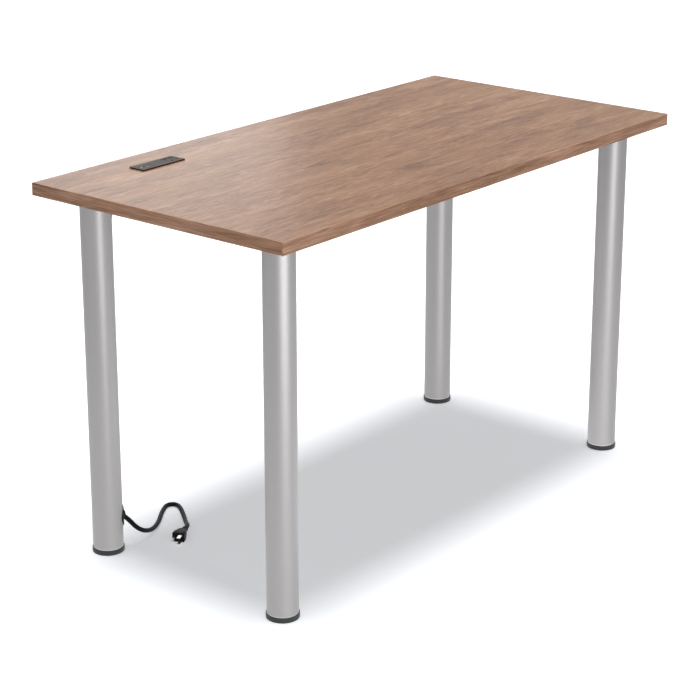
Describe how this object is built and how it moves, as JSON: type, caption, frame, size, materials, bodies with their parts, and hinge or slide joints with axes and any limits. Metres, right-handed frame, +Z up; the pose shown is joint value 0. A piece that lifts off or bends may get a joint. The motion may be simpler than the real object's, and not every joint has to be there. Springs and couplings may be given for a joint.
{
  "type": "writing desk",
  "caption": "Writing desk with a rectangular walnut-look top on round silver legs with levelling feet, a power module let into the top and a corded plug.",
  "frame": {"origin": "on the floor under the middle of the top", "axes": "+X along the top to the right of a person at the front edge, +Y to the rear edge, +Z up"},
  "size_m": [1.2066, 0.602, 0.734],
  "materials": {
    "walnut_laminate": "satin, streaked grain along the length",
    "walnut_edge": "satin, grain along the edge",
    "particle_board": "raw pressed chips",
    "backer_sheet": "matt paper",
    "silver_paint": "satin silver",
    "mount_metal": "satin silver",
    "fastener_steel": "zinc plated",
    "foot_black": "matt moulded",
    "insert_plastic": "matt moulded",
    "bezel_plastic": "semi-gloss moulded",
    "case_plastic": "matt moulded",
    "outlet_plastic": "fine matt",
    "contact_brass": "plain",
    "port_steel": "plated",
    "tongue_plastic": "plain",
    "board_laminate": "coated",
    "component_case": "plain",
    "cord_jacket": "semi-matt jacket",
    "moulded_rubber": "matt moulded",
    "wire_dark": "plain insulation",
    "wire_pale": "plain insulation",
    "wire_green": "plain insulation",
    "plug_metal": "nickel plated"
  },
  "bodies": {
    "desk": {"top_laminate": "walnut_laminate", "edge_band_front": "walnut_edge", "edge_band_rear": "walnut_edge", "edge_band_left": "walnut_edge", "edge_band_right": "walnut_edge", "panel_core": "particle_board", "bottom_backer": "backer_sheet", "leg_tube_rear_left": "silver_paint", "leg_tube_rear_right": "silver_paint", "leg_tube_front_left": "silver_paint", "leg_tube_front_right": "silver_paint", "leg_mount_rear_left": "mount_metal", "leg_mount_rear_right": "mount_metal", "leg_mount_front_left": "mount_metal", "leg_mount_front_right": "mount_metal", "module_brackets": "mount_metal", "mount_screws": "fastener_steel", "leg_set_screws": "fastener_steel", "bracket_screws": "fastener_steel", "case_screws": "fastener_steel", "foot_nuts": "fastener_steel", "foot_insert_rear_left": "insert_plastic", "foot_insert_rear_right": "insert_plastic", "foot_insert_front_left": "insert_plastic", "foot_insert_front_right": "insert_plastic", "module_bezel": "bezel_plastic", "module_housing": "case_plastic", "module_base": "case_plastic", "outlet_base": "case_plastic", "outlet_body": "outlet_plastic", "contact_line": "contact_brass", "contact_neutral": "contact_brass", "contact_ground": "contact_brass", "usb_port_left": "port_steel", "usb_port_right": "port_steel", "usb_tongues": "tongue_plastic", "usb_board": "board_laminate", "usb_transformer": "component_case", "usb_capacitor": "component_case", "cord_inside": "cord_jacket", "cord_free": "cord_jacket", "module_strain_relief": "moulded_rubber", "entry_grommet": "moulded_rubber", "exit_grommet": "moulded_rubber", "plug_body": "moulded_rubber", "wire_line": "wire_dark", "wire_neutral": "wire_pale", "wire_ground": "wire_green", "plug_blades": "plug_metal", "plug_ground_pin": "plug_metal"},
    "foot_pad_rear_left": {"foot_pad_rear_left": "foot_black"},
    "foot_stem_rear_left": {"foot_stem_rear_left": "fastener_steel"},
    "foot_pad_rear_right": {"foot_pad_rear_right": "foot_black"},
    "foot_stem_rear_right": {"foot_stem_rear_right": "fastener_steel"},
    "foot_pad_front_left": {"foot_pad_front_left": "foot_black"},
    "foot_stem_front_left": {"foot_stem_front_left": "fastener_steel"},
    "foot_pad_front_right": {"foot_pad_front_right": "foot_black"},
    "foot_stem_front_right": {"foot_stem_front_right": "fastener_steel"}
  },
  "joints": [
    {"name": "foot_lift_rear_left", "type": "slide", "parent": "desk", "child": "foot_pad_rear_left", "axis": [0, 0, -1], "range_m": [0, 0.015]},
    {"name": "foot_screw_rear_left", "type": "hinge", "parent": "foot_pad_rear_left", "child": "foot_stem_rear_left", "pos_m": [-0.52325, 0.2218, 0.02], "axis": [0, 0, -1], "range_deg": [0, 3601]},
    {"name": "foot_lift_rear_right", "type": "slide", "parent": "desk", "child": "foot_pad_rear_right", "axis": [0, 0, -1], "range_m": [0, 0.015]},
    {"name": "foot_screw_rear_right", "type": "hinge", "parent": "foot_pad_rear_right", "child": "foot_stem_rear_right", "pos_m": [0.52325, 0.2218, 0.02], "axis": [0, 0, -1], "range_deg": [0, 3601]},
    {"name": "foot_lift_front_left", "type": "slide", "parent": "desk", "child": "foot_pad_front_left", "axis": [0, 0, -1], "range_m": [0, 0.015]},
    {"name": "foot_screw_front_left", "type": "hinge", "parent": "foot_pad_front_left", "child": "foot_stem_front_left", "pos_m": [-0.52325, -0.2218, 0.02], "axis": [0, 0, -1], "range_deg": [0, 3601]},
    {"name": "foot_lift_front_right", "type": "slide", "parent": "desk", "child": "foot_pad_front_right", "axis": [0, 0, -1], "range_m": [0, 0.015]},
    {"name": "foot_screw_front_right", "type": "hinge", "parent": "foot_pad_front_right", "child": "foot_stem_front_right", "pos_m": [0.52325, -0.2218, 0.02], "axis": [0, 0, -1], "range_deg": [0, 3601]}
  ],
  "couplings": [
    {"joint": "foot_screw_rear_left", "follows": "foot_lift_rear_left", "rad_per_m": 4188.8},
    {"joint": "foot_screw_rear_right", "follows": "foot_lift_rear_right", "rad_per_m": 4188.8},
    {"joint": "foot_screw_front_left", "follows": "foot_lift_front_left", "rad_per_m": 4188.8},
    {"joint": "foot_screw_front_right", "follows": "foot_lift_front_right", "rad_per_m": 4188.8}
  ]
}
